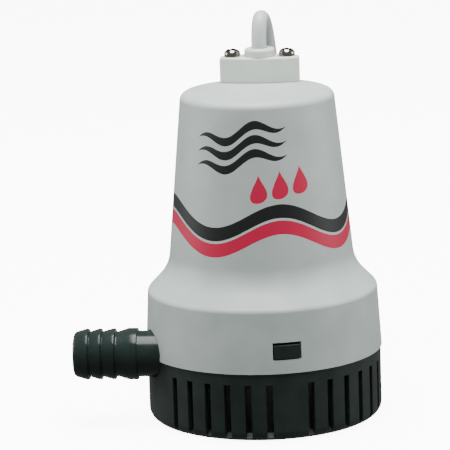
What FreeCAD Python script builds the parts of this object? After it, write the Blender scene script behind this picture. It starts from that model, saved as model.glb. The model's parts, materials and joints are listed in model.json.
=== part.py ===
"""Submersible bilge pump on a slotted strainer, with a 3/4 inch hose barb and a sheathed cable.

Millimetres, +Z up. The origin is the middle of the strainer's underside, on the pump's axis.
The hose barb points along -X and the cable gland stands at the +Y side of the top.
"""
import FreeCAD, Part
import math
import os

import Sketcher

V = FreeCAD.Vector
doc = FreeCAD.newDocument("bilge_pump")
pieces = {}


# ---------------------------------------------------------------- driving dimensions

SIZES = {
    # strainer: a slotted cup with an upright lip that stands inside the housing's skirt
    "base_radius": 46.5, "base_edge": 4.2, "base_wall": 2.6, "base_floor": 2.6, "seam_level": 27.4,
    "lip_radius": 43.4, "lip_wall": 2.0, "lip_top": 42.0, "ledge_level": 24.4,
    "slot_width": 3.0, "slot_low": 1.6, "slot_high": 23.6, "slot_count": 35,
    "foot_hole_radius": 2.4, "foot_hole_circle": 31.0,
    # press tabs: spring fingers whose pads fill the two windows of the skirt
    "tab_angle": -75.0, "window_width": 11.3, "window_low": 32.7, "window_high": 39.6,
    "tab_gap": 0.25, "tab_pad_radius": 46.7, "tab_pivot_level": 25.8, "tab_pivot_radius": 1.0,
    "tab_side_gap": 0.5, "tab_swing_gap": 0.8,
    # motor housing: skirt, sloped shoulder and a long cone
    "skirt_low_radius": 47.0, "skirt_high_radius": 45.6, "skirt_top": 51.3, "skirt_edge": 3.5,
    "cone_low_radius": 36.7, "cone_low": 62.6, "cone_high_radius": 30.2, "cone_high": 130.5,
    "cone_foot_edge": 2.5, "top_edge": 2.3, "housing_wall": 2.4, "housing_boss_radius": 3.6,
    "housing_screw_circle": 38.6,
    # outlet with its saw-tooth barbs, flat land and neck
    "outlet_y": -16.1, "outlet_level": 28.5, "outlet_end": -74.2, "outlet_bore": 7.0,
    "neck_radius": 9.1, "barb_root": 8.95, "barb_crest": 10.1, "land_radius": 10.25,
    "land_start": -52.4, "land_end": -48.8, "barb_ramp": -56.5, "notch_gap": 0.7,
    "barb_one": -57.7, "barb_two": -63.15, "barb_three": -68.25, "barb_step": 0.4, "outlet_lip": 1.7,
    # volute, its suction cover and the impeller
    "volute_low": 19.4, "volute_ceiling": 36.6, "volute_step": 0.88, "volute_radius": 20.9,
    "volute_wall": 2.4, "flange_radius": 35.0, "volute_screw_circle": 31.4, "flange_low": 38.4,
    "plate_low": 42.4,
    "cover_low": 16.9, "eye_radius": 10.5, "eye_lip": 1.6,
    "impeller_radius": 19.0, "impeller_low": 20.4, "hub_lift": 1.4, "vane_top": 33.8,
    "impeller_top": 35.6, "hub_radius": 5.0, "nut_radius": 3.0, "nut_height": 2.0,
    "vane_thickness": 1.5, "vane_bow": 13.5,
    # seal plate between the wet end and the motor
    "plate_radius": 42.9, "plate_high": 47.6, "plate_boss_radius": 13.0, "plate_boss_top": 50.0,
    "ring_groove": 2.7, "ring_section": 1.15, "seal_radius": 7.0, "seal_low": 42.6, "seal_high": 46.0,
    "motor_screw_circle": 10.0, "motor_head_radius": 2.3, "motor_head_height": 1.8,
    "motor_recess_radius": 2.5, "motor_recess_depth": 2.4,
    # motor
    "can_radius": 18.0, "can_wall": 1.1, "can_top": 100.0, "nib_radius": 6.0, "nib_low": 48.0,
    "shaft_radius": 2.0, "shaft_top": 104.4, "bush_radius": 4.2,
    "core_radius": 12.8, "core_low": 63.0, "core_top": 87.0, "winding_radius": 10.9,
    "winding_overhang": 3.5, "magnet_gap": 0.5, "magnet_low": 60.0, "magnet_top": 90.0,
    "slot_root": 5.6, "slot_root_half": 1.3, "slot_shoe": 11.0, "slot_shoe_half": 4.6, "slot_mouth": 1.8,
    "commutator_radius": 5.0, "commutator_low": 92.4, "commutator_top": 98.2, "bell_top": 104.0,
    "slit_width": 0.5, "slit_depth": 1.2, "brush_width": 3.0, "brush_depth": 4.4, "brush_height": 3.2,
    "arm_width": 2.4, "arm_thickness": 0.4, "terminal_width": 4.8, "terminal_thickness": 0.8,
    "terminal_height": 7.0, "terminal_inset": 6.0,
    "support_low": 91.0, "support_high": 97.0, "support_rim": 2.2, "support_arm": 4.4,
    "support_reach": 30.6,
    # cable gland on top and the cable
    "gland_y": 21.65, "gland_half_width": 15.85, "gland_height": 10.1, "gland_front": 18.2,
    "gland_back": 22.96, "gland_front_radius": 46.3, "gland_back_radius": 27.9,
    "gland_screw_x": 10.9, "gland_screw_y": 21.3, "collar_radius": 6.1, "collar_height": 3.2,
    "cable_radius": 3.05, "core_radius_bare": 0.55, "core_radius_sheathed": 1.1, "lead_radius": 1.0,
    "coil_x": -0.8, "coil_y": 104.0, "coil_radius": 33.3, "bare_length": 7.0,
    # screws
    "cap_head_radius": 3.1, "cap_head_height": 2.9, "screw_head_radius": 2.75,
    "screw_head_height": 2.0, "screw_radius": 1.45,
}


class Size:
    """A dimension with its number and the sheet expression that gives it."""

    def __init__(self, number, text):
        self.number = number
        self.text = text

    def combine(self, sign, other, number):
        return Size(number, "(%s %s %s)" % (self.text, sign, sized(other).text))

    def __add__(self, other):
        return self.combine("+", other, self.number + sized(other).number)

    def __sub__(self, other):
        return self.combine("-", other, self.number - sized(other).number)

    def __mul__(self, other):
        return self.combine("*", other, self.number * sized(other).number)

    def __truediv__(self, other):
        return self.combine("/", other, self.number / sized(other).number)

    def __neg__(self):
        return Size(-self.number, "(0 - %s)" % self.text)


def sized(value):
    """Takes a plain number as a Size."""
    return value if isinstance(value, Size) else Size(value, "%.9g" % value)


class Dims:
    """The sheet's cells as Size attributes."""


def make_sheet():
    """Writes the driving dimensions into the document's spreadsheet, one alias a row."""
    sheet = doc.addObject("Spreadsheet::Sheet", "sizes")
    dims = Dims()
    for row, (alias, number) in enumerate(SIZES.items(), start=1):
        sheet.set("A%d" % row, alias)
        sheet.set("B%d" % row, "%g" % number)
        sheet.setAlias("B%d" % row, alias)
        setattr(dims, alias, Size(number, "sizes." + alias))
    doc.recompute()
    return dims


dim = make_sheet()


# ---------------------------------------------------------------- building blocks

def bind(item, **values):
    """Sets properties, from the sheet where the value is a Size."""
    for name, value in values.items():
        if isinstance(value, Size):
            item.setExpression(name.replace("__", "."), value.text)
        else:
            setattr(item, name, value)


def put(item, x=0.0, y=0.0, z=0.0, turn=0.0):
    """Places an object by its base point and its turn about Z in degrees."""
    numbers = [sized(value).number for value in (x, y, z)]
    rotation = FreeCAD.Rotation(V(0, 0, 1), sized(turn).number)
    item.Placement = FreeCAD.Placement(V(*numbers), rotation)
    for axis, value in zip("xyz", (x, y, z)):
        if isinstance(value, Size):
            item.setExpression("Placement.Base." + axis, value.text)
    return item


def keep(name, item):
    """Names a finished sub-part."""
    item.Label = name
    pieces[name] = item
    return item


def new_body(name):
    return doc.addObject("PartDesign::Body", name + "_body")


def origin_item(body, role):
    return [item for item in body.Origin.OriginFeatures if item.Role == role][0]


def sketch_on(body, role, name, lift=0.0, turn=0.0):
    """A sketch on an origin plane, lifted along its normal and turned about its own vertical."""
    sketch = body.newObject("Sketcher::SketchObject", body.Name + "_" + name)
    sketch.AttachmentSupport = [(origin_item(body, role), "")]
    sketch.MapMode = "FlatFace"
    axis = V(0, 1, 0)
    offset = FreeCAD.Placement(V(0, 0, sized(lift).number), FreeCAD.Rotation(axis, turn))
    sketch.AttachmentOffset = offset
    if isinstance(lift, Size):
        sketch.setExpression("AttachmentOffset.Base.z", lift.text)
    return sketch


def constrain(sketch, kind, refs, value):
    number = sketch.addConstraint(Sketcher.Constraint(kind, *refs, sized(value).number))
    if isinstance(value, Size):
        sketch.setExpression("Constraints[%d]" % number, value.text)


def hold(sketch, geometry, spot, corner):
    """Holds a sketch point at its two distances from the sketch's origin."""
    for kind, axis, value in zip(("DistanceX", "DistanceY"), (-2, -1), corner):
        if sized(value).number == 0:
            sketch.addConstraint(Sketcher.Constraint("PointOnObject", geometry, spot, axis))
        else:
            constrain(sketch, kind, (-1, 1, geometry, spot), value)


def outline(sketch, corners, bows=None):
    """Closed outline through the corners; bows gives (radius, side) for edges that are arcs.

    The edge that starts at a corner bows to the left of its direction for side 1, right for -1.
    """
    bows = bows or {}
    points = [V(sized(x).number, sized(y).number, 0) for x, y in corners]
    ends = []
    for index, start in enumerate(points):
        finish = points[(index + 1) % len(points)]
        if index not in bows:
            number = sketch.addGeometry(Part.LineSegment(start, finish))
            ends.append((number, 1, 2))
            continue
        radius, side = bows[index]
        chord = finish - start
        reach = sized(radius).number
        sagitta = reach - math.sqrt(reach ** 2 - chord.Length ** 2 / 4)
        left = V(-chord.y, chord.x, 0).normalize()
        middle = (start + finish) * 0.5 + left * (sagitta * side)
        number = sketch.addGeometry(Part.Arc(start, middle, finish))
        ends.append((number, 2, 1) if side > 0 else (number, 1, 2))
        constrain(sketch, "Radius", (number,), radius)
    for index, (number, _, finish_spot) in enumerate(ends):
        after, start_spot, _ = ends[(index + 1) % len(ends)]
        sketch.addConstraint(Sketcher.Constraint("Coincident", number, finish_spot, after, start_spot))
    for (number, start_spot, _), corner in zip(ends, corners):
        hold(sketch, number, start_spot, corner)


def circle(sketch, x, y, radius):
    centre = V(sized(x).number, sized(y).number, 0)
    number = sketch.addGeometry(Part.Circle(centre, V(0, 0, 1), sized(radius).number))
    constrain(sketch, "Radius", (number,), radius)
    hold(sketch, number, 3, (x, y))


def rectangle(sketch, left, low, right, high):
    outline(sketch, [(left, low), (right, low), (right, high), (left, high)])


def volume_of(body):
    return body.Tip.Shape.Volume if body.Tip else 0.0


def settle(feature, before, cuts):
    """Recomputes a new feature and makes sure that it really added or cut something."""
    doc.recompute()
    change = feature.Shape.Volume - before
    if (change < -1e-3) != cuts or abs(change) < 1e-3:
        raise RuntimeError("%s changes the volume by %.3f" % (feature.Name, change))
    return feature


def feature_of(body, kind, sketch, cuts, **values):
    before = volume_of(body)
    feature = body.newObject("PartDesign::" + kind, sketch.Name + "_" + kind.lower())
    feature.Profile = sketch
    bind(feature, **values)
    return settle(feature, before, cuts)


def revolve(body, sketch, axis="V_Axis", angle=360.0, cuts=False):
    kind = "Groove" if cuts else "Revolution"
    both = sized(angle).number < 360
    return feature_of(body, kind, sketch, cuts, ReferenceAxis=(sketch, [axis]), Angle=angle, Midplane=both)


def pad(body, sketch, length, flip=False):
    return feature_of(body, "Pad", sketch, False, Length=length, Reversed=flip)


def pocket(body, sketch, length=None, flip=False, both=False):
    """Cuts a sketch to a length, or through everything on one side or on both."""
    values = {"Reversed": flip, "SideType": "Symmetric" if both else "One side"}
    if length is None:
        values["Type"] = "ThroughAll"
    else:
        values["Length"] = length
    return feature_of(body, "Pocket", sketch, True, **values)


def repeat_round(body, feature, count, angle=360.0, cuts=True):
    """Repeats a feature about the body's Z axis."""
    before = volume_of(body)
    pattern = body.newObject("PartDesign::PolarPattern", feature.Name + "_round")
    pattern.Originals = [feature]
    pattern.Axis = (origin_item(body, "Z_Axis"), [""])
    bind(pattern, Angle=angle, Occurrences=count)
    body.Tip = pattern
    return settle(pattern, before, cuts)


def round_off(body, radius, chosen):
    """Fillets the edges of the body's last feature that the test chooses."""
    rounded = body.Tip
    names = ["Edge%d" % (i + 1) for i, edge in enumerate(rounded.Shape.Edges) if chosen(edge)]
    fillet = body.newObject("PartDesign::Fillet", rounded.Name + "_edge")
    fillet.Base = (rounded, names)
    bind(fillet, Radius=radius)
    doc.recompute()
    if not names or fillet.Shape.isNull():
        raise RuntimeError("%s rounds nothing: %s" % (fillet.Name, names))
    return fillet


def ring_edge(level, radius):
    """A test for the full or part circle about Z at a level and a radius."""
    def test(edge):
        curve = edge.Curve
        if not isinstance(curve, Part.Circle):
            return False
        off_axis = math.hypot(curve.Center.x, curve.Center.y)
        near = abs(curve.Center.z - sized(level).number) < 0.02
        return off_axis < 0.02 and near and abs(curve.Radius - sized(radius).number) < 0.02
    return test


def turned(name, corners, bows=None):
    """A piece turned about Z from its half section."""
    body = new_body(name)
    sketch = sketch_on(body, "XZ_Plane", "section")
    outline(sketch, corners, bows)
    revolve(body, sketch)
    return body


def turned_ring(name, inner, outer, low, high):
    return turned(name, [(inner, low), (outer, low), (outer, high), (inner, high)])


def drill(body, name, x, y, radius, low, depth):
    """A round hole along Z from a level upwards."""
    sketch = sketch_on(body, "XY_Plane", name, lift=low)
    circle(sketch, x, y, radius)
    return pocket(body, sketch, depth, flip=True)


def box(name, width, depth, height, x, y, z, turn=0.0):
    """A block centred on x and y that stands on level z."""
    item = doc.addObject("Part::Box", name)
    bind(item, Length=width, Width=depth, Height=height)
    half = V(-sized(width).number / 2, -sized(depth).number / 2, 0)
    rotation = FreeCAD.Rotation(V(0, 0, 1), turn)
    numbers = V(sized(x).number, sized(y).number, sized(z).number)
    item.Placement = FreeCAD.Placement(numbers + rotation.multVec(half), rotation)
    return item


def compound(name, items):
    group = doc.addObject("Part::Compound", name + "_group")
    group.Links = items
    doc.recompute()
    return keep(name, group)


def screw(name, head_radius, head_height, length, domed):
    """A screw with a plain head, or a domed one with a cross recess; its seat is at its own origin."""
    body = new_body(name)
    sketch = sketch_on(body, "XZ_Plane", "section")
    shank = dim.screw_radius
    corners = [(0, -length), (shank, -length), (shank, 0), (head_radius, 0)]
    if not domed:
        outline(sketch, corners + [(head_radius, head_height * 0.6), (head_radius * 0.8, head_height),
                                   (0, head_height)])
        revolve(body, sketch)
        return body
    outline(sketch, corners + [(head_radius, head_height * 0.35), (0, head_height)],
            {4: (head_radius * 1.35, -1)})
    revolve(body, sketch)
    recess = sketch_on(body, "XY_Plane", "recess", lift=head_height)
    arm = head_radius * 0.62
    blade = head_radius * 0.17
    outline(recess, [(arm, -blade), (arm, blade), (blade, blade), (blade, arm), (-blade, arm),
                     (-blade, blade), (-arm, blade), (-arm, -blade), (-blade, -blade),
                     (-blade, -arm), (blade, -arm), (blade, -blade)])
    pocket(body, recess, head_height * 0.62)
    return body


def screws(name, places, head_radius, head_height, length, upward=False, domed=False):
    """A set of equal screws at the given x, y and level; upward ones point their tip up."""
    made = []
    for index, (x, y, z) in enumerate(places):
        body = screw("%s_%d" % (name, index + 1), head_radius, head_height, length, domed)
        put(body, x, y, z)
        if upward:
            body.Placement = FreeCAD.Placement(body.Placement.Base, FreeCAD.Rotation(V(1, 0, 0), 180))
        made.append(body)
    return compound(name, made)


def round_places(count, radius, level):
    """Points on a circle about Z, the first on +X."""
    angles = [2 * math.pi * index / count for index in range(count)]
    reach = sized(radius).number
    return [(reach * math.cos(angle), reach * math.sin(angle), level) for angle in angles]


# ---------------------------------------------------------------- strainer and press tabs

def tab_angles():
    return (dim.tab_angle, dim.tab_angle + 180)


def outlet_notch(body, reach):
    """Cuts the round passage of the outlet's neck through the -X side."""
    hole = sketch_on(body, "YZ_Plane", "notch")
    circle(hole, dim.outlet_y, dim.outlet_level, reach)
    pocket(body, hole)


def slot_run(body, name, first, count):
    """Vertical slots through the strainer's wall, from one angle round to another."""
    pitch = 360.0 / sized(dim.slot_count).number
    start = sized(dim.tab_angle).number + first * pitch
    sketch = sketch_on(body, "YZ_Plane", name, turn=start)
    half = dim.slot_width / 2
    rectangle(sketch, -half, dim.slot_low, half, dim.slot_high)
    seed = pocket(body, sketch, flip=True)
    repeat_round(body, seed, count, pitch * (count - 1))


def make_strainer():
    wall_inside = dim.base_radius - dim.base_wall
    lip_inside = dim.lip_radius - dim.lip_wall
    ledge_foot = dim.ledge_level - (wall_inside - lip_inside)
    inner_edge = dim.base_edge - dim.base_wall
    body = turned("strainer_base", [
        (0, 0), (dim.base_radius, 0), (dim.base_radius, dim.seam_level),
        (dim.lip_radius, dim.seam_level), (dim.lip_radius, dim.lip_top), (lip_inside, dim.lip_top),
        (lip_inside, dim.ledge_level), (wall_inside, ledge_foot),
        (wall_inside, dim.base_floor + inner_edge), (wall_inside - inner_edge, dim.base_floor),
        (0, dim.base_floor)])
    round_off(body, dim.base_edge, ring_edge(0, dim.base_radius))
    reach = dim.neck_radius + dim.notch_gap
    outlet_notch(body, reach)
    legs = sketch_on(body, "YZ_Plane", "notch_legs")
    rectangle(legs, dim.outlet_y - reach, dim.outlet_level, dim.outlet_y + reach, dim.lip_top + 5)
    pocket(body, legs)
    for index, angle in enumerate(tab_angles()):
        gap = sketch_on(body, "YZ_Plane", "tab_gap_%d" % index, turn=angle.number)
        half = dim.window_width / 2 - dim.tab_gap + dim.tab_side_gap
        rectangle(gap, -half, dim.tab_pivot_level - 0.45, half, dim.lip_top + 1)
        pocket(body, gap, dim.lip_radius + dim.tab_side_gap, flip=True)
        seat = sketch_on(body, "XZ_Plane", "tab_seat_%d" % index, turn=angle.number)
        middle = dim.lip_radius - dim.lip_wall / 2
        circle(seat, middle, dim.tab_pivot_level, dim.tab_pivot_radius + 0.05)
        pocket(body, seat, half * 2, both=True)
    hole = sketch_on(body, "XY_Plane", "foot_hole")
    circle(hole, dim.foot_hole_circle, 0, dim.foot_hole_radius)
    repeat_round(body, pocket(body, hole, dim.base_floor, flip=True), 3)
    slot_run(body, "slots_right", 1.12, 23)
    slot_run(body, "slots_left", 29.12, 6)
    keep("strainer_base", body)


def make_press_tab(name, angle):
    """A spring finger with a pad; its barrel foot pivots in the strainer's lip."""
    inside = dim.lip_radius - dim.lip_wall
    low = dim.window_low + dim.tab_gap
    high = dim.window_high - dim.tab_swing_gap
    slope = dim.tab_swing_gap * 0.75
    half = dim.window_width / 2 - dim.tab_gap
    spread = math.degrees(2 * math.asin(half.number / dim.tab_pad_radius.number))
    body = new_body(name)
    section = sketch_on(body, "XZ_Plane", "section")
    outline(section, [(inside, dim.tab_pivot_level), (dim.lip_radius, dim.tab_pivot_level),
                      (dim.lip_radius, low), (dim.tab_pad_radius, low),
                      (dim.tab_pad_radius, high - slope), (dim.tab_pad_radius - slope, high),
                      (dim.lip_radius, high), (dim.lip_radius, dim.lip_top - 0.4),
                      (inside, dim.lip_top - 0.4)])
    revolve(body, section, angle=spread)
    barrel = sketch_on(body, "XZ_Plane", "barrel")
    circle(barrel, dim.lip_radius - dim.lip_wall / 2, dim.tab_pivot_level, dim.tab_pivot_radius)
    feature_of(body, "Pad", barrel, False, Length=half * 2, SideType="Symmetric")
    put(body, turn=angle)
    keep(name, body)


# ---------------------------------------------------------------- motor housing

def make_housing():
    wall = dim.housing_wall
    shell = [
        (dim.skirt_low_radius - wall, dim.seam_level), (dim.skirt_low_radius, dim.seam_level),
        (dim.skirt_high_radius, dim.skirt_top), (dim.cone_low_radius, dim.cone_low),
        (dim.cone_high_radius, dim.cone_high), (0, dim.cone_high), (0, dim.cone_high - wall),
        (dim.cone_high_radius - wall, dim.cone_high - wall),
        (dim.cone_low_radius - wall, dim.cone_low - wall * 0.5),
        (dim.skirt_high_radius - wall, dim.skirt_top - wall * 0.6)]
    body = turned("motor_housing", shell)
    boss = sketch_on(body, "XY_Plane", "boss", lift=dim.plate_high)
    circle(boss, dim.housing_screw_circle, 0, dim.housing_boss_radius)
    first = pad(body, boss, dim.cone_low - dim.plate_high - 1)
    repeat_round(body, first, 4, cuts=False)
    trim = sketch_on(body, "XZ_Plane", "trim")
    outline(trim, [(dim.skirt_high_radius, dim.skirt_top), (dim.skirt_high_radius + 6, dim.skirt_top),
                   (dim.skirt_high_radius + 6, dim.cone_low + 6), (dim.cone_low_radius, dim.cone_low + 6),
                   (dim.cone_low_radius, dim.cone_low)])
    revolve(body, trim, cuts=True)
    pilot = sketch_on(body, "XY_Plane", "pilot", lift=dim.plate_high)
    circle(pilot, dim.housing_screw_circle, 0, dim.screw_radius)
    repeat_round(body, pocket(body, pilot, 5.5, flip=True), 4)
    round_off(body, dim.skirt_edge, ring_edge(dim.skirt_top, dim.skirt_high_radius))
    round_off(body, dim.cone_foot_edge, ring_edge(dim.cone_low, dim.cone_low_radius))
    round_off(body, dim.top_edge, ring_edge(dim.cone_high, dim.cone_high_radius))
    outlet_notch(body, dim.neck_radius + dim.notch_gap)
    half = dim.window_width / 2
    window = sketch_on(body, "YZ_Plane", "window", turn=dim.tab_angle.number)
    rectangle(window, -half, dim.window_low, half, dim.window_high)
    pocket(body, window, both=True)
    drill(body, "cable_hole", 0, dim.gland_y, dim.cable_radius + 0.4, dim.cone_high - wall, wall)
    for side in (-1, 1):
        drill(body, "gland_pilot_%d" % (side + 1), dim.gland_screw_x * side, dim.gland_screw_y,
              dim.screw_radius, dim.cone_high - wall, wall)
    keep("motor_housing", body)


# ---------------------------------------------------------------- volute, cover, impeller

def volute_outline(sketch, wall, end):
    """Three quarter arcs about shifted centres, wider by a step each, that run out at -X."""
    half = dim.volute_step / 2
    first = dim.volute_radius + wall
    second = first + dim.volute_step
    third = second + dim.volute_step
    mouth = dim.outlet_y + dim.outlet_bore + wall
    corners = [
        (half - first, half), (half, half + first), (second + half, -half), (-half, -half - third),
        (end, -half - third), (end, mouth), (half - first, mouth)]
    outline(sketch, corners, {0: (first, 1), 1: (second, 1), 2: (third, 1)})


def make_volute():
    body = turned("volute_body", [(0, dim.flange_low), (dim.flange_radius, dim.flange_low),
                                  (dim.flange_radius, dim.plate_low), (0, dim.plate_low)])
    case = sketch_on(body, "XY_Plane", "case", lift=dim.volute_low)
    volute_outline(case, dim.volute_wall, -(dim.volute_radius + 7.5))
    pad(body, case, dim.flange_low - dim.volute_low)
    barb = sketch_on(body, "XZ_Plane", "barb", lift=-dim.outlet_y)
    axis_level = dim.outlet_level
    valley = axis_level + dim.barb_root
    crest = axis_level + dim.barb_crest
    inner = -(dim.volute_radius + 3)
    outline(barb, [
        (inner, axis_level), (inner, axis_level + dim.neck_radius),
        (dim.land_end, axis_level + dim.neck_radius), (dim.land_end, axis_level + dim.land_radius),
        (dim.land_start, axis_level + dim.land_radius), (dim.barb_ramp, valley),
        (dim.barb_one + dim.barb_step, valley), (dim.barb_one, crest),
        (dim.barb_two + dim.barb_step, valley), (dim.barb_two, crest),
        (dim.barb_three + dim.barb_step, valley), (dim.barb_three, crest),
        (dim.outlet_end, valley - 0.3), (dim.outlet_end, axis_level)])
    revolve(body, barb, axis=turning_axis(barb, inner, dim.outlet_end, axis_level))
    end = dim.outlet_end
    round_off(body, dim.outlet_lip, lambda edge: abs(edge.CenterOfMass.x - end.number) < 0.01)
    chamber = sketch_on(body, "XY_Plane", "chamber", lift=dim.volute_low)
    volute_outline(chamber, sized(0), -(dim.volute_radius + 3.5))
    pocket(body, chamber, dim.volute_ceiling - dim.volute_low, flip=True)
    bore = sketch_on(body, "YZ_Plane", "bore", lift=dim.outlet_end)
    circle(bore, dim.outlet_y, dim.outlet_level, dim.outlet_bore)
    pocket(body, bore, -dim.outlet_end - dim.volute_radius + 2, flip=True)
    drill(body, "shaft_hole", 0, 0, dim.shaft_radius + 1.5, dim.volute_ceiling,
          dim.plate_low - dim.volute_ceiling)
    hole = sketch_on(body, "XY_Plane", "screw_hole", lift=dim.flange_low)
    circle(hole, dim.volute_screw_circle, 0, dim.screw_radius + 0.15)
    repeat_round(body, pocket(body, hole, dim.plate_low - dim.flange_low, flip=True), 4)
    keep("volute_body", body)


def turning_axis(sketch, start, finish, level):
    """Adds a construction line along a level and gives its name as an axis."""
    number = sketch.addGeometry(Part.LineSegment(V(start.number, level.number, 0),
                                                 V(finish.number, level.number, 0)), True)
    hold(sketch, number, 1, (start, level))
    hold(sketch, number, 2, (finish, level))
    return "Axis0"


def make_suction_cover():
    """The volute's floor, of the same outline, with a lipped eye under the impeller."""
    low, high = dim.cover_low, dim.volute_low
    body = new_body("suction_cover")
    plate = sketch_on(body, "XY_Plane", "plate", lift=low)
    volute_outline(plate, dim.volute_wall, -(dim.volute_radius + 7.5))
    pad(body, plate, high - low)
    lip = sketch_on(body, "XY_Plane", "lip", lift=low - dim.eye_lip)
    circle(lip, 0, 0, dim.eye_radius + dim.eye_lip)
    pad(body, lip, dim.eye_lip)
    eye = sketch_on(body, "XY_Plane", "eye", lift=low - dim.eye_lip)
    circle(eye, 0, 0, dim.eye_radius)
    pocket(body, eye, flip=True)
    keep("suction_cover", body)


def make_impeller():
    """Closed-back impeller with six backward-curved vanes."""
    hub_low = dim.impeller_low + dim.hub_lift
    body = turned("impeller", [
        (dim.shaft_radius, hub_low), (dim.hub_radius, hub_low),
        (dim.hub_radius, dim.vane_top), (dim.impeller_radius, dim.vane_top),
        (dim.impeller_radius, dim.impeller_top), (dim.shaft_radius, dim.impeller_top)])
    vane = sketch_on(body, "XY_Plane", "vane", lift=dim.impeller_low)
    inner, outer, thick = dim.hub_radius - 0.6, dim.impeller_radius, dim.vane_thickness
    outline(vane, [(inner, 0), (outer * 0.82, outer * 0.565), (outer * 0.82 - thick, outer * 0.565),
                   (inner - thick * 0.4, thick * 1.1)],
            {0: (dim.vane_bow, 1), 2: (dim.vane_bow + thick, -1)})
    first = pad(body, vane, dim.vane_top - dim.impeller_low)
    repeat_round(body, first, 6, cuts=False)
    keep("impeller", body)
    nut = turned("impeller_nut", [
        (0, hub_low - dim.nut_height), (dim.nut_radius, hub_low - dim.nut_height),
        (dim.nut_radius, hub_low), (0, hub_low)])
    keep("impeller_nut", nut)


# ---------------------------------------------------------------- seal plate and seals

def make_seal_plate():
    low, high = dim.plate_low, dim.plate_high
    groove_low = (low + high - dim.ring_groove) / 2
    groove_foot = dim.plate_radius - 2.0
    recess = dim.nib_low
    body = turned("seal_plate", [
        (dim.seal_radius, low), (dim.plate_radius, low), (dim.plate_radius, groove_low),
        (groove_foot, groove_low), (groove_foot, groove_low + dim.ring_groove),
        (dim.plate_radius, groove_low + dim.ring_groove), (dim.plate_radius, high),
        (dim.plate_boss_radius, high), (dim.plate_boss_radius, dim.plate_boss_top),
        (dim.nib_radius + 0.1, dim.plate_boss_top), (dim.nib_radius + 0.1, recess),
        (dim.shaft_radius + 0.5, recess), (dim.shaft_radius + 0.5, dim.seal_high),
        (dim.seal_radius, dim.seal_high)])
    for index, (radius, hole, depth) in enumerate((
            (dim.housing_screw_circle, dim.screw_radius + 0.15, high - low),
            (dim.motor_screw_circle, dim.motor_recess_radius, dim.motor_recess_depth))):
        sketch = sketch_on(body, "XY_Plane", "holes_%d" % index, lift=low)
        circle(sketch, radius, 0, hole)
        repeat_round(body, pocket(body, sketch, depth, flip=True), 4 if index == 0 else 2)
    shank = sketch_on(body, "XY_Plane", "motor_holes", lift=low)
    circle(shank, dim.motor_screw_circle, 0, dim.screw_radius + 0.1)
    repeat_round(body, pocket(body, shank, dim.plate_boss_top - low, flip=True), 2)
    pilot = sketch_on(body, "XY_Plane", "pilots", lift=low)
    circle(pilot, dim.volute_screw_circle, 0, dim.screw_radius)
    repeat_round(body, pocket(body, pilot, 4.0, flip=True), 4)
    keep("seal_plate", body)
    middle = groove_low + dim.ring_groove / 2
    ring = turned_ring("plate_seal_ring", groove_foot, groove_foot + dim.ring_section * 2,
                       middle - dim.ring_section, middle + dim.ring_section)
    keep("plate_seal_ring", ring)
    seal = turned("shaft_seal", [
        (dim.shaft_radius + 2.4, dim.seal_low), (dim.seal_radius, dim.seal_low),
        (dim.seal_radius, dim.seal_high), (dim.shaft_radius + 1.2, dim.seal_high),
        (dim.shaft_radius, dim.seal_low + 1.3), (dim.shaft_radius, dim.seal_low + 0.7),
        (dim.shaft_radius + 0.9, dim.seal_low + 0.7), (dim.shaft_radius + 2.4, dim.seal_high - 1.1)])
    keep("shaft_seal", seal)


# ---------------------------------------------------------------- motor

def make_motor_shell():
    wall = dim.can_wall
    floor = dim.plate_boss_top
    can = turned("motor_can", [
        (dim.bush_radius, dim.nib_low), (dim.nib_radius, dim.nib_low), (dim.nib_radius, floor),
        (dim.can_radius, floor), (dim.can_radius, dim.can_top), (dim.can_radius - wall, dim.can_top),
        (dim.can_radius - wall, floor + wall), (dim.bush_radius, floor + wall)])
    hole = sketch_on(can, "XY_Plane", "screw_hole", lift=floor)
    circle(hole, dim.motor_screw_circle, 0, dim.screw_radius)
    repeat_round(can, pocket(can, hole, wall, flip=True), 2)
    keep("motor_can", can)
    bell = turned("end_bell", [
        (dim.bush_radius, dim.can_top - 1), (dim.can_radius - wall, dim.can_top - 1),
        (dim.can_radius - wall, dim.can_top), (dim.can_radius, dim.can_top),
        (dim.can_radius, dim.can_top + 1.5), (dim.can_radius - 2, dim.bell_top - 0.8),
        (dim.bush_radius + 2.2, dim.bell_top - 0.8), (dim.bush_radius + 2.2, dim.bell_top),
        (dim.bush_radius, dim.bell_top)])
    keep("end_bell", bell)
    bush_low = turned_ring("lower_bearing", dim.shaft_radius + 0.02, dim.bush_radius, dim.nib_low,
                           floor + wall + 2)
    keep("lower_bearing", bush_low)
    bush_high = turned_ring("upper_bearing", dim.shaft_radius + 0.02, dim.bush_radius, dim.can_top - 1,
                            dim.bell_top)
    keep("upper_bearing", bush_high)
    inside = dim.core_radius + dim.magnet_gap
    outside = dim.can_radius - wall
    arcs = []
    for index, turn in enumerate((0, 180)):
        body = new_body("magnet_%d" % index)
        section = sketch_on(body, "XZ_Plane", "section")
        rectangle(section, inside, dim.magnet_low, outside, dim.magnet_top)
        revolve(body, section, angle=132)
        put(body, turn=turn)
        arcs.append(body)
    compound("field_magnets", arcs)


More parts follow.
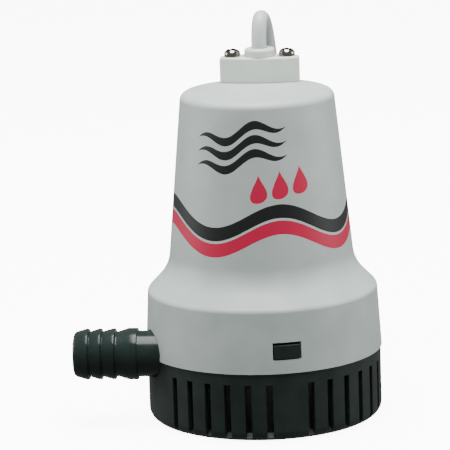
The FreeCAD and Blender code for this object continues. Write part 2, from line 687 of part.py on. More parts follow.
def make_rotor():
    low = dim.impeller_low + dim.hub_lift
    shaft = turned("motor_shaft", [(0, low), (dim.shaft_radius, low),
                                   (dim.shaft_radius, dim.shaft_top), (0, dim.shaft_top)])
    keep("motor_shaft", shaft)
    core = turned_ring("armature_core", dim.shaft_radius, dim.core_radius, dim.core_low, dim.core_top)
    slot = sketch_on(core, "XY_Plane", "slot", lift=dim.core_low)
    root, shoe, mouth = dim.slot_root, dim.slot_shoe, dim.slot_mouth / 2
    outside = dim.core_radius + 0.7
    outline(slot, [(root, -dim.slot_root_half), (shoe, -dim.slot_shoe_half), (shoe, -mouth),
                   (outside, -mouth), (outside, mouth), (shoe, mouth), (shoe, dim.slot_shoe_half),
                   (root, dim.slot_root_half)])
    first = pocket(core, slot, dim.core_top - dim.core_low, flip=True)
    repeat_round(core, first, 5)
    keep("armature_core", core)
    coil = turned_ring("coil_blank", dim.shaft_radius + 1.6, dim.winding_radius,
                       dim.core_low - dim.winding_overhang, dim.core_top + dim.winding_overhang)
    wound = doc.addObject("Part::Cut", "windings_cut")
    wound.Base = coil
    wound.Tool = core
    doc.recompute()
    keep("armature_windings", wound)
    bars = turned_ring("commutator", dim.shaft_radius, dim.commutator_radius, dim.commutator_low,
                       dim.commutator_top)
    slit = sketch_on(bars, "YZ_Plane", "slit", lift=dim.commutator_radius - dim.slit_depth)
    half = dim.slit_width / 2
    rectangle(slit, -half, dim.commutator_low, half, dim.commutator_top)
    repeat_round(bars, pocket(bars, slit, dim.slit_depth + 0.8, flip=True), 5)
    keep("commutator", bars)


def make_brush_gear():
    middle = (dim.commutator_low + dim.commutator_top) / 2 - 1.6
    arm_length = dim.can_top - 1 - middle
    carbons = []
    arms = []
    tabs = []
    for side in (-1, 1):
        reach = (dim.commutator_radius + 2.3) * side
        carbons.append(box("carbon_%d" % (side + 1), dim.brush_width, dim.brush_depth,
                           dim.brush_height, 0, reach, middle))
        behind = (dim.commutator_radius + dim.brush_depth + 0.3) * side
        arms.append(box("arm_%d" % (side + 1), dim.arm_width, dim.arm_thickness, arm_length,
                        0, behind, middle))
        tabs.append(box("terminal_%d" % (side + 1), dim.terminal_width, dim.terminal_thickness,
                        dim.terminal_height, 0, (dim.can_radius - dim.terminal_inset) * side,
                        dim.bell_top - 0.8))
    compound("carbon_brushes", carbons)
    compound("brush_springs", arms)
    compound("motor_terminals", tabs)


def make_motor_support():
    """A ring round the can's top with three arms that reach the housing's inside."""
    low, high, half = dim.support_low, dim.support_high, dim.support_arm / 2
    body = turned_ring("motor_support", dim.can_radius, dim.can_radius + dim.support_rim, low, high)
    arm = sketch_on(body, "XY_Plane", "arm", lift=low)
    rectangle(arm, dim.can_radius + 1, -half, dim.support_reach, half)
    repeat_round(body, pad(body, arm, high - low), 3, cuts=False)
    keep("motor_support", body)


# ---------------------------------------------------------------- cable gland and cable

def make_gland():
    body = new_body("gland_cap")
    top = dim.cone_high + dim.gland_height
    block = sketch_on(body, "XY_Plane", "block", lift=dim.cone_high)
    half = dim.gland_half_width
    outline(block, [(-half, dim.gland_front), (half, dim.gland_front), (half, dim.gland_back),
                    (-half, dim.gland_back)],
            {0: (dim.gland_front_radius, -1), 2: (dim.gland_back_radius, -1)})
    pad(body, block, dim.gland_height)
    round_off(body, sized(0.9), lambda edge: edge.BoundBox.ZMin > top.number - 0.01)
    recess = sketch_on(body, "XY_Plane", "recess", lift=dim.cone_high)
    circle(recess, 0, dim.gland_y, dim.collar_radius - 0.9)
    pocket(body, recess, 3.0, flip=True)
    drill(body, "collar_bore", 0, dim.gland_y, dim.cable_radius + 1.6, dim.cone_high, dim.gland_height)
    for side in (-1, 1):
        drill(body, "screw_hole_%d" % (side + 1), dim.gland_screw_x * side, dim.gland_screw_y,
              dim.screw_radius + 0.15, dim.cone_high, dim.gland_height)
    keep("gland_cap", body)
    bore, neck = dim.cable_radius, dim.cable_radius + 1.6
    foot = dim.cone_high + 3.0
    collar = turned("cable_grommet", [
        (bore, dim.cone_high), (dim.collar_radius - 0.9, dim.cone_high), (dim.collar_radius - 0.9, foot),
        (neck, foot), (neck, top), (dim.collar_radius, top), (dim.collar_radius, top + dim.collar_height),
        (bore, top + dim.collar_height)])
    round_off(collar, sized(1.1), ring_edge(top + dim.collar_height, dim.collar_radius))
    put(collar, y=dim.gland_y)
    keep("cable_grommet", collar)
    screws("gland_screws", [(dim.gland_screw_x * side, dim.gland_screw_y, top) for side in (-1, 1)],
           dim.cap_head_radius, dim.cap_head_height, dim.gland_height + 4.5, domed=True)


def rounded_route(points):
    """Straight runs joined by tangent arcs as large as the shorter of their two runs allows."""
    edges = []
    start = points[0]
    tightest = []
    for before, corner, after in zip(points, points[1:], points[2:]):
        inward = (before - corner).normalize()
        outward = (after - corner).normalize()
        turn = math.pi - inward.getAngle(outward)
        shorter = min((before - corner).Length, (after - corner).Length)
        reach = 0.45 * shorter
        radius = reach / math.tan(turn / 2)
        entry, leave = corner + inward * reach, corner + outward * reach
        bisector = (inward + outward).normalize()
        middle = corner + bisector * (radius / math.cos(turn / 2) - radius)
        edges.append(Part.LineSegment(start, entry).toShape())
        edges.append(Part.Arc(entry, middle, leave).toShape())
        start = leave
        tightest.append(round(radius, 1))
    edges.append(Part.LineSegment(start, points[-1]).toShape())
    return Part.Wire(edges), tightest


def swept(points, radius):
    """A round rod along a rounded route, checked against section times length."""
    path, radii = rounded_route(points)
    direction = (points[1] - points[0]).normalize()
    section = Part.Wire([Part.Circle(points[0], direction, radius).toShape()])
    rod = path.makePipeShell([section], True, True)
    if not rod.isValid() or abs(rod.Volume / (math.pi * radius ** 2 * path.Length) - 1) > 0.01:
        raise RuntimeError("a rod's volume doesn't match its length")
    return rod, path.Length, radii


CABLE_ROUTE = [  # out of the gland, over the rear edge, down the back and out to the coil's top turn
    (0.0, 21.65, 127.0), (0.0, 21.65, 154.9), (2.8, 34.35, 154.9), (4.5, 38.5, 128.0),
    (9.5, 45.0, 92.0), (16.0, 53.5, 58.0), (22.5, 65.0, 38.0), (28.0, 81.0, 25.5), (32.3, 99.9, 21.7)]
TAIL_ROUTE = [  # off the coil's lowest turn to the end of the sheath
    (28.04, 120.65, 3.1), (22.6, 130.0, 3.1), (19.5, 139.5, 3.1), (18.5, 149.5, 3.1)]
CORE_ROUTES = (  # the two stripped conductors, down to the floor and apart
    [(19.7, 149.6, 3.1), (20.1, 157.6, 2.2), (23.6, 165.0, 1.4), (30.4, 169.8, 1.4)],
    [(17.3, 149.4, 3.1), (16.1, 157.6, 2.2), (11.2, 164.6, 1.4), (3.8, 168.4, 1.4)])
LEAD_ROUTES = (  # conductors inside the housing, from the cable's end to the motor's terminals
    [(-1.3, 21.65, 127.0), (-1.6, 21.0, 119.5), (-2.0, 17.0, 113.5), (0.0, 12.9, 109.6)],
    [(1.3, 21.65, 127.0), (1.9, 19.0, 121.0), (5.6, 8.6, 117.0), (8.6, -3.0, 114.0),
     (4.5, -10.4, 111.8), (0.0, -12.9, 109.6)])


def vectors(route):
    return [V(*point) for point in route]


def solid_feature(name, shape):
    feature = doc.addObject("Part::Feature", name + "_solid")
    feature.Shape = shape
    return keep(name, feature)


def make_cable():
    radius = dim.cable_radius.number
    rod, length, radii = swept(vectors(CABLE_ROUTE), radius)
    solid_feature("power_cable", rod)
    print("power cable: %.0f mm, arc radii %s" % (length, radii))
    tail, tail_length, _ = swept(vectors(TAIL_ROUTE), radius)
    solid_feature("cable_tail", tail)
    top = sized(CABLE_ROUTE[-1][2]) + dim.cable_radius
    inner, outer = dim.coil_radius - dim.cable_radius, dim.coil_radius + dim.cable_radius
    edge = dim.cable_radius * 0.6
    coil = turned("cable_coil", [
        (inner + edge, 0), (outer - edge, 0), (outer, edge), (outer, top - edge), (outer - edge, top),
        (inner + edge, top), (inner, top - edge), (inner, edge)])
    put(coil, dim.coil_x, dim.coil_y)
    keep("cable_coil", coil)
    cores = [swept(vectors(route), dim.core_radius_sheathed.number)[0] for route in CORE_ROUTES]
    tips = []
    for route in CORE_ROUTES:
        last = vectors(route)[-1]
        along = (last - vectors(route)[-2]).normalize()
        along = V(along.x, along.y, 0).normalize()
        tips.append(Part.makeCylinder(dim.core_radius_bare.number, dim.bare_length.number, last, along))
    solid_feature("cable_leads", Part.makeCompound([core.fuse(tip) for core, tip in zip(cores, tips)]))
    wires = [swept(vectors(route), dim.lead_radius.number)[0] for route in LEAD_ROUTES]
    solid_feature("lead_wires", Part.makeCompound(wires))


# ---------------------------------------------------------------- assembly and export

def make_screws():
    screws("volute_screws", round_places(4, dim.volute_screw_circle, dim.flange_low),
           dim.screw_head_radius, dim.screw_head_height, 7.6, upward=True)
    screws("plate_screws", round_places(4, dim.housing_screw_circle, dim.plate_low),
           dim.screw_head_radius, dim.screw_head_height, 10.2, upward=True)
    screws("motor_screws", round_places(2, dim.motor_screw_circle, dim.plate_low + dim.motor_recess_depth),
           dim.motor_head_radius, dim.motor_head_height, 6.0, upward=True)


def check_and_export():
    doc.recompute()
    for item in doc.Objects:
        if "Invalid" in item.State or "Error" in item.State:
            raise RuntimeError("%s failed: %s" % (item.Name, item.State))
    os.makedirs("parts", exist_ok=True)
    for name, item in pieces.items():
        shape = item.Shape
        if shape.isNull() or not shape.isValid() or not shape.Solids:
            raise RuntimeError(name + " is not a valid solid")
    for name, item in pieces.items():
        item.Shape.exportStep("parts/%s.step" % name)
        box_of = item.Shape.BoundBox
        print("%-20s %8.0f mm3  x %6.1f %6.1f  y %6.1f %6.1f  z %6.1f %6.1f" % (
            name, item.Shape.Volume, box_of.XMin, box_of.XMax, box_of.YMin, box_of.YMax,
            box_of.ZMin, box_of.ZMax))


make_strainer()
make_press_tab("press_tab_front", tab_angles()[0])
make_press_tab("press_tab_rear", tab_angles()[1])
make_housing()
make_volute()
make_suction_cover()
make_impeller()
make_seal_plate()
make_motor_shell()
make_rotor()
make_brush_gear()
make_motor_support()
make_gland()
make_screws()
make_cable()
check_and_export()
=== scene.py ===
"""Dresses the bilge pump's frame with finished surfaces, a cable, a stage and a camera."""

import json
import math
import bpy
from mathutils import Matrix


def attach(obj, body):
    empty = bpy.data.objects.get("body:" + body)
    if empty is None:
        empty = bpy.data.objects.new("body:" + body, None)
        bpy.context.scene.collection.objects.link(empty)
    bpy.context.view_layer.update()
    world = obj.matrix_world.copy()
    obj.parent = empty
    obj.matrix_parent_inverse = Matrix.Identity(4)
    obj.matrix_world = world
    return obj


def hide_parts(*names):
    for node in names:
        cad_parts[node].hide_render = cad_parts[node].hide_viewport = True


bl_info = {
    "name": "Bilge Pump",
    "version": (1, 0, 0),
    "blender": (4, 5, 0),
    "location": "View3D > Sidebar > Bilge Pump",
    "description": "Builds a submersible bilge pump over its construction frame",
    "category": "Object",
}

import bmesh
import bpy
from mathutils import Matrix, Vector

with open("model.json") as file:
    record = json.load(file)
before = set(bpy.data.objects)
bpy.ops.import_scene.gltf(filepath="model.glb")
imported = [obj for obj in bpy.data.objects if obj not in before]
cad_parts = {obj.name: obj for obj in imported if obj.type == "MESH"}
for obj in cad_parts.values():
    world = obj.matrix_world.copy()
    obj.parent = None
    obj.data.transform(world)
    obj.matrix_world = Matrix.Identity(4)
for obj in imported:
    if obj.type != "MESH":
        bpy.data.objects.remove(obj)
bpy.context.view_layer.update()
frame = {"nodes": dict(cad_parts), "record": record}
MM = 0.001
FULL_TURN = 2 * math.pi
# distances in metres under which two places count as one: at a cut, and between vertices
AT_CUT = 1e-7
SAME_PLACE = 1e-6
# steps of the half circle of an arch-shaped opening, and of a rounded corner
ARCH_STEPS = 10
CORNER_STEPS = 8


# ---------------------------------------------------------------- colours and small tools

def from_hex(code):
    """Linear red, green and blue of an sRGB hex colour."""
    channels = [int(code[i:i + 2], 16) / 255 for i in (0, 2, 4)]
    return tuple(c / 12.92 if c <= 0.04045 else ((c + 0.055) / 1.055) ** 2.4 for c in channels)


def rgba(colour):
    """The same colour with full alpha, as colour sockets want it."""
    return (*colour[:3], 1.0)


def length(name, description, value):
    """A size in metres that a user may change, given here in millimetres."""
    return bpy.props.FloatProperty(name=name, description=description, default=value * MM,
                                   unit="LENGTH", precision=5)


def paint(name, description, code):
    """A colour that a user may change, given here as an sRGB hex value."""
    return bpy.props.FloatVectorProperty(name=name, description=description, subtype="COLOR",
                                         min=0.0, max=1.0, default=from_hex(code))


class BilgePumpSizes(bpy.types.PropertyGroup):
    """The sizes of the pieces"""
    base_radius: length("Base radius", "Outside radius of the strainer", 46.5)
    base_edge: length("Base edge", "Radius of the strainer's lower edge", 4.2)
    base_wall: length("Base wall", "Wall of the strainer", 2.6)
    slot_width: length("Slot width", "Width of one strainer slot", 2.6)
    slot_low: length("Slot foot", "Height where the slots begin", 1.6)
    slot_high: length("Slot head", "Height where the slots end", 22.8)
    seam_level: length("Seam", "Height of the housing's lower edge", 27.4)
    lip_radius: length("Lip radius", "Radius of the strainer's lip inside the skirt", 43.4)
    lip_top: length("Lip top", "Height of the lip", 42.0)
    skirt_low_radius: length("Skirt foot radius", "Radius of the skirt at the seam", 47.0)
    skirt_high_radius: length("Skirt head radius", "Radius of the skirt at the shoulder", 45.6)
    skirt_top: length("Skirt top", "Height of the skirt", 51.9)
    skirt_edge: length("Skirt edge", "Rounding of the skirt's upper edge", 2.8)
    cone_low_radius: length("Cone foot radius", "Radius at the foot of the cone", 36.9)
    cone_low: length("Cone foot", "Height of the cone's foot", 61.0)
    cone_foot_edge: length("Cone foot edge", "Rounding at the foot of the cone", 16.0)
    cone_high_radius: length("Cone head radius", "Radius at the top of the cone", 30.2)
    cone_high: length("Cone head", "Height of the housing's top", 130.5)
    top_edge: length("Top edge", "Rounding of the top edge", 3.1)
    housing_wall: length("Housing wall", "Wall of the motor housing", 2.4)
    window_width: length("Window width", "Width of a press tab's window", 11.3)
    window_low: length("Window sill", "Height of the window's sill", 32.7)
    window_high: length("Window head", "Height of the window's head", 39.6)
    tab_angle: bpy.props.FloatProperty(name="Tab angle", description="Where the front tab sits",
                                       default=math.radians(-75), subtype="ANGLE")
    outlet_y: length("Outlet offset", "How far the outlet's axis is off the middle", -16.1)
    outlet_level: length("Outlet height", "Height of the outlet's axis", 28.5)
    outlet_end: length("Outlet end", "Where the hose barb ends", -74.2)
    outlet_bore: length("Outlet bore", "Radius of the outlet's bore", 7.0)
    neck_radius: length("Neck radius", "Radius of the outlet's neck", 9.1)
    barb_root: length("Barb root", "Radius between the barbs", 8.95)
    barb_crest: length("Barb crest", "Radius of a barb's crest", 10.1)
    barb_flat: length("Barb flat", "Width of the flat on a barb's crest", 1.1)
    land_radius: length("Land radius", "Radius of the clamp's land", 10.25)
    gland_y: length("Gland offset", "How far the gland is behind the middle", 21.65)
    gland_height: length("Gland height", "Height of the gland cap", 10.1)
    gland_half_width: length("Gland half width", "Half the width of the gland cap", 15.85)
    gland_front: length("Gland front corner", "Where the cap's front corners are", 18.2)
    gland_back: length("Gland back corner", "Where the cap's back corners are", 22.96)
    gland_front_bow: length("Gland front bow", "Radius of the cap's front", 46.3)
    gland_back_bow: length("Gland back bow", "Radius of the cap's back", 27.9)
    gland_edge: length("Gland edge", "Rounding of the cap's top edge", 0.9)
    gland_screw_x: length("Gland screw place", "Sideways place of the cap's screws", 10.9)
    gland_screw_y: length("Gland screw depth", "Where the cap's screws are behind the middle", 21.3)
    head_radius: length("Screw head radius", "Radius of a cap screw's head", 3.25)
    head_height: length("Screw head height", "Height of a cap screw's head", 3.2)
    shank_radius: length("Screw shank radius", "Radius of a cap screw's shank", 1.45)
    shank_length: length("Screw length", "Length of a cap screw under its head", 14.2)
    collar_radius: length("Collar radius", "Radius of the cable's collar", 6.1)
    collar_height: length("Collar height", "Height of the collar over the cap", 3.2)
    cable_radius: length("Cable radius", "Radius of the cable's sheath", 3.05)
    coil_radius: length("Coil radius", "Radius of the put-away coil's middle", 33.3)


class BilgePumpColours(bpy.types.PropertyGroup):
    """The colours of plastics, inks and sheath"""
    housing: paint("Housing", "White plastic of the housing", "ADB8B4")
    cap: paint("Gland cap", "White plastic of the gland cap", "C9CFC8")
    black_print: paint("Dark print", "Dark screen-printing ink", "0F1513")
    red_print: paint("Red print", "Red screen-printing ink", "BE1440")
    base: paint("Base", "Black plastic of the strainer and outlet", "1F2A27")
    sheath: paint("Sheath", "Cable sheath", "B6BEBB")


def sizes():
    """The sizes as the scene holds them."""
    return bpy.context.scene.bilge_pump_sizes


def colours():
    """The colours as the scene holds them."""
    return bpy.context.scene.bilge_pump_colours


def add(tree, kind, settings=None, inputs=None):
    """A new node with its settings; an input is a number, a colour or the socket that feeds it."""
    node = tree.nodes.new(kind)
    for name, value in (settings or {}).items():
        setattr(node, name, value)
    for name, value in (inputs or {}).items():
        if isinstance(value, bpy.types.NodeSocket):
            tree.links.new(value, node.inputs[name])
        else:
            node.inputs[name].default_value = value
    return node


def new_material(name, colour, roughness, **sockets):
    """A material with one Principled shader; the further sockets are given by their names."""
    material = bpy.data.materials.new(name)
    material.use_nodes = True
    shader = material.node_tree.nodes["Principled BSDF"]
    shader.inputs["Base Color"].default_value = rgba(colour)
    shader.inputs["Roughness"].default_value = roughness
    for socket, value in sockets.items():
        shader.inputs[socket.replace("_", " ")].default_value = value
    return material


def grain(material, size, depth, vary=0.0):
    """Fine unevenness of that size and depth in metres; vary changes the roughness by that much."""
    tree = material.node_tree
    shader = tree.nodes["Principled BSDF"]
    place = add(tree, "ShaderNodeTexCoord")
    noise = add(tree, "ShaderNodeTexNoise", None,
                {"Vector": place.outputs["Object"], "Scale": 1 / size, "Detail": 3.0, "Roughness": 0.6})
    bump = add(tree, "ShaderNodeBump", None,
               {"Height": noise.outputs["Fac"], "Distance": depth, "Strength": 1.0})
    tree.links.new(bump.outputs["Normal"], shader.inputs["Normal"])
    if vary:
        base = shader.inputs["Roughness"].default_value
        spread = add(tree, "ShaderNodeMapRange", None,
                     {"Value": noise.outputs["Fac"], "From Min": 0.3, "From Max": 0.7,
                      "To Min": base - vary, "To Max": base + vary})
        tree.links.new(spread.outputs["Result"], shader.inputs["Roughness"])
    return material


def drift(material, size, share):
    """Lets the colour drift by that share over patches of that size in metres; gives its socket."""
    tree = material.node_tree
    shader = tree.nodes["Principled BSDF"]
    colour = shader.inputs["Base Color"].default_value[:3]
    place = add(tree, "ShaderNodeTexCoord")
    patch = add(tree, "ShaderNodeTexNoise", None,
                {"Vector": place.outputs["Object"], "Scale": 1 / size, "Detail": 2.0})
    tint = add(tree, "ShaderNodeMix", {"data_type": "RGBA"},
               {0: patch.outputs["Fac"], 6: rgba([c * (1 - share) for c in colour]),
                7: rgba([c * (1 + share) for c in colour])}).outputs[2]
    tree.links.new(tint, shader.inputs["Base Color"])
    return tint


# ---------------------------------------------------------------- modelling tools

def finish_piece(name, bm, materials, body="pump", sharp=35, bevel=0.0, wall=0.0):
    """Makes the mesh an object on its CAD body, with a wall and softened edges where they are given."""
    bmesh.ops.remove_doubles(bm, verts=bm.verts, dist=AT_CUT)
    mesh = bpy.data.meshes.new(name)
    bm.to_mesh(mesh)
    bm.free()
    mesh.shade_smooth()
    mesh.set_sharp_from_angle(angle=math.radians(sharp))
    piece = bpy.data.objects.new(name, mesh)
    bpy.context.scene.collection.objects.link(piece)
    for material in materials:
        mesh.materials.append(material)
    if wall:
        shell = piece.modifiers.new("Wall", "SOLIDIFY")
        shell.thickness = wall
        shell.offset = -1.0
        shell.use_even_offset = True
    if bevel:
        edge = piece.modifiers.new("Edges", "BEVEL")
        edge.width = bevel
        edge.segments = 2
        edge.limit_method = "ANGLE"
        edge.angle_limit = math.radians(sharp)
        edge.harden_normals = True
    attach(piece, body)
    return piece


def arc_corner(before, corner, after, radius):
    """Points of the rounding that replaces a corner between two straight runs."""
    a = (Vector(before) - Vector(corner)).normalized()
    b = (Vector(after) - Vector(corner)).normalized()
    half = a.angle(b) / 2
    back = radius / math.tan(half)
    centre = Vector(corner) + (a + b).normalized() * (radius / math.sin(half))
    start = Vector(corner) + a * back - centre
    end = Vector(corner) + b * back - centre
    turn, steps = start.angle(end), CORNER_STEPS
    return [centre + (start * math.sin(turn * (1 - i / steps)) + end * math.sin(turn * i / steps))
            / math.sin(turn) for i in range(steps + 1)]


def rounded_profile(corners):
    """A profile of (radius, height, rounding) corners as points; a rounding of 0 stays sharp."""
    points = []
    for i, (r, z, edge) in enumerate(corners):
        if edge and 0 < i < len(corners) - 1:
            points += arc_corner(corners[i - 1][:2], (r, z), corners[i + 1][:2], edge)
        else:
            points.append(Vector((r, z)))
    return points


def spun(points, steps, closed=False, angle=FULL_TURN):
    """A bmesh of a (radius, height) profile turned about Z; a closed profile makes a ring."""
    bm = bmesh.new()
    verts = [bm.verts.new((r, 0, z)) for r, z in points]
    edges = [bm.edges.new(pair) for pair in zip(verts, verts[1:])]
    if closed:
        edges.append(bm.edges.new((verts[-1], verts[0])))
    whole = abs(angle - FULL_TURN) < SAME_PLACE
    bmesh.ops.spin(bm, geom=verts + edges, cent=(0, 0, 0), axis=(0, 0, 1), angle=angle,
                   steps=steps, use_merge=whole)
    bmesh.ops.remove_doubles(bm, verts=bm.verts, dist=SAME_PLACE)
    bmesh.ops.recalc_face_normals(bm, faces=bm.faces)
    return bm


def cut_opening(bm, walls, side):
    """Opens a shell: walls are (point, outward normal) pairs round a convex gap, side is where it is."""
    def meets(face):
        if face.calc_center_median().dot(side) <= 0:
            return False
        return all(any((v.co - p).dot(n) < -AT_CUT for v in face.verts) for p, n in walls)

    for point, normal in walls:
        faces = [f for f in bm.faces if meets(f)]
        parts = set(faces)
        for face in faces:
            parts.update(face.edges)
            parts.update(face.verts)
        bmesh.ops.bisect_plane(bm, geom=list(parts), plane_co=point, plane_no=normal,
                               dist=AT_CUT)
    gone = [f for f in bm.faces if f.calc_center_median().dot(side) > 0
            and all((f.calc_center_median() - p).dot(n) < 0 for p, n in walls)]
    if not gone:
        raise RuntimeError("an opening removes nothing")
    bmesh.ops.delete(bm, geom=gone, context="FACES")


def upright_box(angle, half, low, high):
    """Walls of a rectangular opening in a round shell at that angle, and the side it is on."""
    out = Vector((math.cos(angle), math.sin(angle), 0))
    along = Vector((-out.y, out.x, 0))
    up = Vector((0, 0, 1))
    return [(along * half, along), (-along * half, -along), (up * low, -up), (up * high, up)], out


def arch_walls(y, level, radius, leg_end, upward=False):
    """Walls of an arch-shaped opening through the -X side, whose legs run down or upward to leg_end."""
    walls = []
    turn = 1 if upward else -1
    for i in range(ARCH_STEPS + 1):
        angle = math.pi * i / ARCH_STEPS
        normal = Vector((0, math.cos(angle), -turn * math.sin(angle)))
        centre = Vector((0, y, level))
        walls.append((centre + normal * radius, normal))
    up = Vector((0, 0, 1))
    walls.append((up * leg_end, up * turn))
    return walls, Vector((-1, 0, 0))


def cad_copy(node):
    """A merged copy of a CAD node's mesh, to be cut or painted."""
    bm = bmesh.new()
    bm.from_mesh(frame["nodes"][node].data)
    bmesh.ops.remove_doubles(bm, verts=bm.verts, dist=SAME_PLACE)
    return bm


# ---------------------------------------------------------------- finishes

# the print on the cone, in metres; counts, phases, turns and slopes are bare numbers
PRINT_RADIUS = 34.0 * MM
PRINT_COUNT = 3
RIBBON_WAVES = 4
RIBBON_PHASE = 0.4
RIBBON_LEVEL = 81.0 * MM
RIBBON_SWING = 4.6 * MM
RIBBON_NEAR = 0.5 * MM
RIBBON_FAR = 5.8 * MM
RIBBON_MIDDLE = (RIBBON_NEAR + RIBBON_FAR) / 2
RIBBON_HALF = (RIBBON_FAR - RIBBON_NEAR) / 2
STROKE_ARC = -5.5 * MM
STROKE_LEVEL = 113.5 * MM
STROKE_REACH = 20.0 * MM
STROKE_CLIMB = 3.8 * MM
STROKE_TURN = 5.6
STROKE_SWING = 2.2 * MM
STROKE_PITCH = 5.4 * MM
STROKE_HALF = 1.75 * MM
STROKE_TAPER = 2.5
DROP_ARC = 10.5 * MM
DROP_LEVEL = 99.0 * MM
DROP_PITCH = 8.6 * MM
DROP_HALF_WIDTH = 2.6 * MM
DROP_HALF_HEIGHT = 5.6 * MM
DROP_CLIMB = 0.16

# the masks of the print, step by step: a step's name, its operation, and its inputs, which are
# numbers or the names of earlier steps; x, y and z are the place on the piece
PRINT_STEPS = (
    # place round the cone from its front, as an angle and as an arc
    ("forward", "MULTIPLY", "y", -1.0),
    ("angle", "ARCTAN2", "x", "forward"),
    ("arc", "MULTIPLY", "angle", PRINT_RADIUS),
    # ribbons: both follow one wave, the dark one above it and the red one below
    ("phase", "MULTIPLY_ADD", "angle", RIBBON_WAVES, RIBBON_PHASE),
    ("wave", "SINE", "phase"),
    ("wave level", "MULTIPLY_ADD", "wave", RIBBON_SWING, RIBBON_LEVEL),
    ("over wave", "SUBTRACT", "z", "wave level"),
    ("over dark", "SUBTRACT", "over wave", RIBBON_MIDDLE),
    ("off dark", "ABSOLUTE", "over dark"),
    ("dark ribbon", "LESS_THAN", "off dark", RIBBON_HALF),
    ("over red", "ADD", "over wave", RIBBON_MIDDLE),
    ("off red", "ABSOLUTE", "over red"),
    ("red ribbon", "LESS_THAN", "off red", RIBBON_HALF),
    # strokes: a wave that climbs to the right, repeated upwards, thinning to nothing at its ends
    ("stroke arc", "SUBTRACT", "arc", STROKE_ARC),
    ("along", "DIVIDE", "stroke arc", STROKE_REACH),
    ("stroke phase", "MULTIPLY", "along", STROKE_TURN),
    ("stroke wave", "SINE", "stroke phase"),
    ("climb", "MULTIPLY", "along", STROKE_CLIMB),
    ("stroke line", "MULTIPLY_ADD", "stroke wave", STROKE_SWING, "climb"),
    ("stroke height", "SUBTRACT", "z", STROKE_LEVEL),
    ("over line", "SUBTRACT", "stroke height", "stroke line"),
    ("repeated", "WRAP", "over line", STROKE_PITCH / 2, -STROKE_PITCH / 2),
    ("off line", "ABSOLUTE", "repeated"),
    ("share out", "ABSOLUTE", "along"),
    ("thinning", "POWER", "share out", STROKE_TAPER),
    ("thickness", "MULTIPLY_ADD", "thinning", -STROKE_HALF, STROKE_HALF),
    ("on line", "LESS_THAN", "off line", "thickness"),
    ("off strokes", "ABSOLUTE", "over line"),
    ("in strokes", "LESS_THAN", "off strokes", STROKE_PITCH * PRINT_COUNT / 2),
    ("stroke all round", "MULTIPLY", "on line", "in strokes"),
    # drops: round below and pointed above, repeated along the arc
    ("drop arc", "SUBTRACT", "arc", DROP_ARC),
    ("each drop", "WRAP", "drop arc", DROP_PITCH / 2, -DROP_PITCH / 2),
    ("side", "DIVIDE", "each drop", DROP_HALF_WIDTH),
    ("side squared", "POWER", "side", 2.0),
    ("drop climb", "MULTIPLY", "drop arc", DROP_CLIMB),
    ("drop height", "SUBTRACT", "z", DROP_LEVEL),
    ("over drop", "SUBTRACT", "drop height", "drop climb"),
    ("up", "DIVIDE", "over drop", DROP_HALF_HEIGHT),
    ("under tip", "SUBTRACT", 1.0, "up"),
    ("inside tip", "MAXIMUM", "under tip", 0.0),
    ("point", "POWER", "inside tip", 3.0),
    ("over foot", "ADD", 1.0, "up"),
    ("outline", "MULTIPLY", "point", "over foot"),
    ("in drop", "LESS_THAN", "side squared", "outline"),
    ("off drops", "ABSOLUTE", "drop arc"),
    ("in drops", "LESS_THAN", "off drops", DROP_PITCH * PRINT_COUNT / 2),
    ("drop all round", "MULTIPLY", "in drop", "in drops"),
    # strokes and drops are on the front only
    ("front", "LESS_THAN", "y", 0.0),
    ("stroke", "MULTIPLY", "stroke all round", "front"),
    ("drop", "MULTIPLY", "drop all round", "front"),
)


def printed_plastic():
    """Injection-moulded white ABS under screen-printed ink, satin; the ink is as smooth as the ABS.

    The print is a pair of wave ribbons all the way round, and on the front three short wave
    strokes over three drops.
    """
    c = colours()
    material = new_material("screen_printed_abs", c.housing, 0.5, IOR=1.54, Specular_IOR_Level=0.35)
    tree = material.node_tree
    place = add(tree, "ShaderNodeTexCoord")
    parts = add(tree, "ShaderNodeSeparateXYZ", None, {"Vector": place.outputs["Object"]})
    found = dict(zip("xyz", parts.outputs))
    for name, operation, *inputs in PRINT_STEPS:
        sockets = {i: found.get(value, value) for i, value in enumerate(inputs)}
        found[name] = add(tree, "ShaderNodeMath", {"operation": operation}, sockets).outputs[0]
    colour = drift(material, 12 * MM, 0.15)
    for mask, ink in (("dark ribbon", c.black_print), ("red ribbon", c.red_print),
                      ("stroke", c.black_print), ("drop", c.red_print)):
        colour = add(tree, "ShaderNodeMix", {"data_type": "RGBA"},
                     {0: found[mask], 6: colour, 7: rgba(ink)}).outputs[2]
    tree.links.new(colour, tree.nodes["Principled BSDF"].inputs["Base Color"])
    return grain(material, 0.7 * MM, 0.004 * MM)


